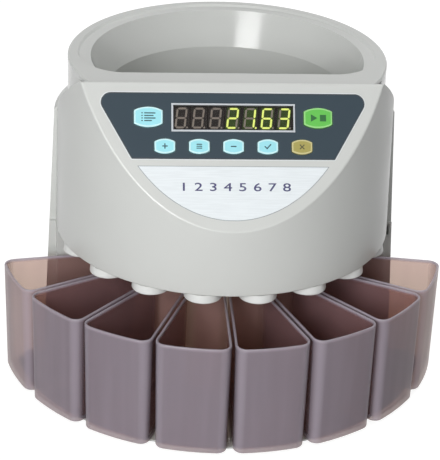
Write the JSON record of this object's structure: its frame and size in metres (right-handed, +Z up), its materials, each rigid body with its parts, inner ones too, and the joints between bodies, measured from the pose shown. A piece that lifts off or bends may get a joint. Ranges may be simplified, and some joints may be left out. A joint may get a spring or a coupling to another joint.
{
  "type": "coin sorter",
  "caption": "Motor-driven table-top coin sorter: round hopper, turning sorting disc, leaning console with display and keys, and a half ring of spouts over pull-out coin boxes.",
  "frame": {"origin": "under the middle of the footprint, on the surface that the feet stand on", "axes": "+Z up, front (console and coin boxes) towards -Y, +X to the right seen from the front"},
  "size_m": [0.3594, 0.3331, 0.2676],
  "materials": {
    "body_grey": "fine satin",
    "sheet_steel": "powder coat",
    "black_rubber": "matt",
    "deck_metal": "brushed",
    "disc_plastic": "moulded, polished by coins",
    "steel": "turned",
    "bronze": "sintered",
    "gear_nylon": "moulded nylon",
    "motor_steel": "satin",
    "circuit_board": "solder mask",
    "overlay_slate": "fine-textured film",
    "bezel_pale": "gloss",
    "smoke_lens": "gloss smoke",
    "digit_black": "satin",
    "label_white": "satin film",
    "black_plastic": "fine texture",
    "key_cyan": "soft gloss",
    "key_green": "soft gloss",
    "key_olive": "soft gloss",
    "spout_white": "soft gloss",
    "box_smoke": "smoke-tinted translucent plastic"
  },
  "bodies": {
    "machine": {"base_plate": "sheet_steel", "rubber_feet": "black_rubber", "rear_housing": "body_grey", "column_cover": "body_grey", "front_cover": "body_grey", "hopper_bowl": "body_grey", "sorting_plate": "deck_metal", "coin_rail": "deck_metal", "shaft_bearing": "bronze", "gear_motor": "motor_steel", "motor_bracket": "deck_metal", "spout_tray": "body_grey", "support_pillars": "steel", "base_screws": "steel", "deck_screws": "steel", "sensor_board": "circuit_board", "control_board": "circuit_board", "key_pad": "black_rubber", "panel_overlay": "overlay_slate", "display_bezel": "bezel_pale", "display_window": "smoke_lens", "led_digits": "digit_black", "label_plate": "label_white", "power_transformer": "motor_steel", "power_board": "circuit_board", "rear_panel": "black_plastic", "power_inlet": "black_plastic", "switch_frame": "black_plastic", "coin_spout_1": "spout_white", "coin_spout_2": "spout_white", "coin_spout_3": "spout_white", "coin_spout_4": "spout_white", "coin_spout_5": "spout_white", "coin_spout_6": "spout_white", "coin_spout_7": "spout_white", "coin_spout_8": "spout_white"},
    "disc": {"sorting_disc": "disc_plastic", "disc_cap": "disc_plastic", "main_shaft": "steel", "disc_gear": "gear_nylon"},
    "pinion": {"motor_pinion": "bronze", "motor_shaft": "steel"},
    "rocker": {"power_rocker": "black_plastic"},
    "key_report": {"button_report": "key_cyan"},
    "key_start": {"button_start": "key_green"},
    "key_plus": {"button_plus": "key_cyan"},
    "key_batch": {"button_batch": "key_cyan"},
    "key_minus": {"button_minus": "key_cyan"},
    "key_set": {"button_set": "key_cyan"},
    "key_clear": {"button_clear": "key_olive"},
    "box_1": {"coin_box_1": "box_smoke"},
    "box_2": {"coin_box_2": "box_smoke"},
    "box_3": {"coin_box_3": "box_smoke"},
    "box_4": {"coin_box_4": "box_smoke"},
    "box_5": {"coin_box_5": "box_smoke"},
    "box_6": {"coin_box_6": "box_smoke"},
    "box_7": {"coin_box_7": "box_smoke"},
    "box_8": {"coin_box_8": "box_smoke"}
  },
  "joints": [
    {"name": "disc_spin", "type": "hinge", "parent": "machine", "child": "disc", "pos_m": [0, 0.0176, 0.15], "axis": [0, 0, 1], "continuous": true},
    {"name": "pinion_spin", "type": "hinge", "parent": "machine", "child": "pinion", "pos_m": [0, 0.06135, 0.13], "axis": [0, 0, 1], "continuous": true},
    {"name": "rocker_tip", "type": "hinge", "parent": "machine", "child": "rocker", "pos_m": [0.022, 0.1566, 0.044], "axis": [1, 0, 0], "range_deg": [0, 16]},
    {"name": "key_report_press", "type": "slide", "parent": "machine", "child": "key_report", "axis": [0, 0.807, -0.5906], "range_m": [0, 0.0008], "stiffness_N_per_m": 1500, "springref_m": -0.0006},
    {"name": "key_start_press", "type": "slide", "parent": "machine", "child": "key_start", "axis": [0, 0.807, -0.5906], "range_m": [0, 0.0008], "stiffness_N_per_m": 1500, "springref_m": -0.0006},
    {"name": "key_plus_press", "type": "slide", "parent": "machine", "child": "key_plus", "axis": [0, 0.807, -0.5906], "range_m": [0, 0.0008], "stiffness_N_per_m": 1500, "springref_m": -0.0006},
    {"name": "key_batch_press", "type": "slide", "parent": "machine", "child": "key_batch", "axis": [0, 0.807, -0.5906], "range_m": [0, 0.0008], "stiffness_N_per_m": 1500, "springref_m": -0.0006},
    {"name": "key_minus_press", "type": "slide", "parent": "machine", "child": "key_minus", "axis": [0, 0.807, -0.5906], "range_m": [0, 0.0008], "stiffness_N_per_m": 1500, "springref_m": -0.0006},
    {"name": "key_set_press", "type": "slide", "parent": "machine", "child": "key_set", "axis": [0, 0.807, -0.5906], "range_m": [0, 0.0008], "stiffness_N_per_m": 1500, "springref_m": -0.0006},
    {"name": "key_clear_press", "type": "slide", "parent": "machine", "child": "key_clear", "axis": [0, 0.807, -0.5906], "range_m": [0, 0.0008], "stiffness_N_per_m": 1500, "springref_m": -0.0006},
    {"name": "box_1_pull", "type": "slide", "parent": "machine", "child": "box_1", "axis": [-0.9397, -0.342, 0], "range_m": [0, 0.11]},
    {"name": "box_2_pull", "type": "slide", "parent": "machine", "child": "box_2", "axis": [-0.766, -0.6428, 0], "range_m": [0, 0.11]},
    {"name": "box_3_pull", "type": "slide", "parent": "machine", "child": "box_3", "axis": [-0.5, -0.866, 0], "range_m": [0, 0.11]},
    {"name": "box_4_pull", "type": "slide", "parent": "machine", "child": "box_4", "axis": [-0.1736, -0.9848, 0], "range_m": [0, 0.11]},
    {"name": "box_5_pull", "type": "slide", "parent": "machine", "child": "box_5", "axis": [0.1736, -0.9848, 0], "range_m": [0, 0.11]},
    {"name": "box_6_pull", "type": "slide", "parent": "machine", "child": "box_6", "axis": [0.5, -0.866, 0], "range_m": [0, 0.11]},
    {"name": "box_7_pull", "type": "slide", "parent": "machine", "child": "box_7", "axis": [0.766, -0.6428, 0], "range_m": [0, 0.11]},
    {"name": "box_8_pull", "type": "slide", "parent": "machine", "child": "box_8", "axis": [0.9397, -0.342, 0], "range_m": [0, 0.11]}
  ],
  "couplings": [
    {"joint": "pinion_spin", "follows": "disc_spin", "ratio": -4}
  ]
}
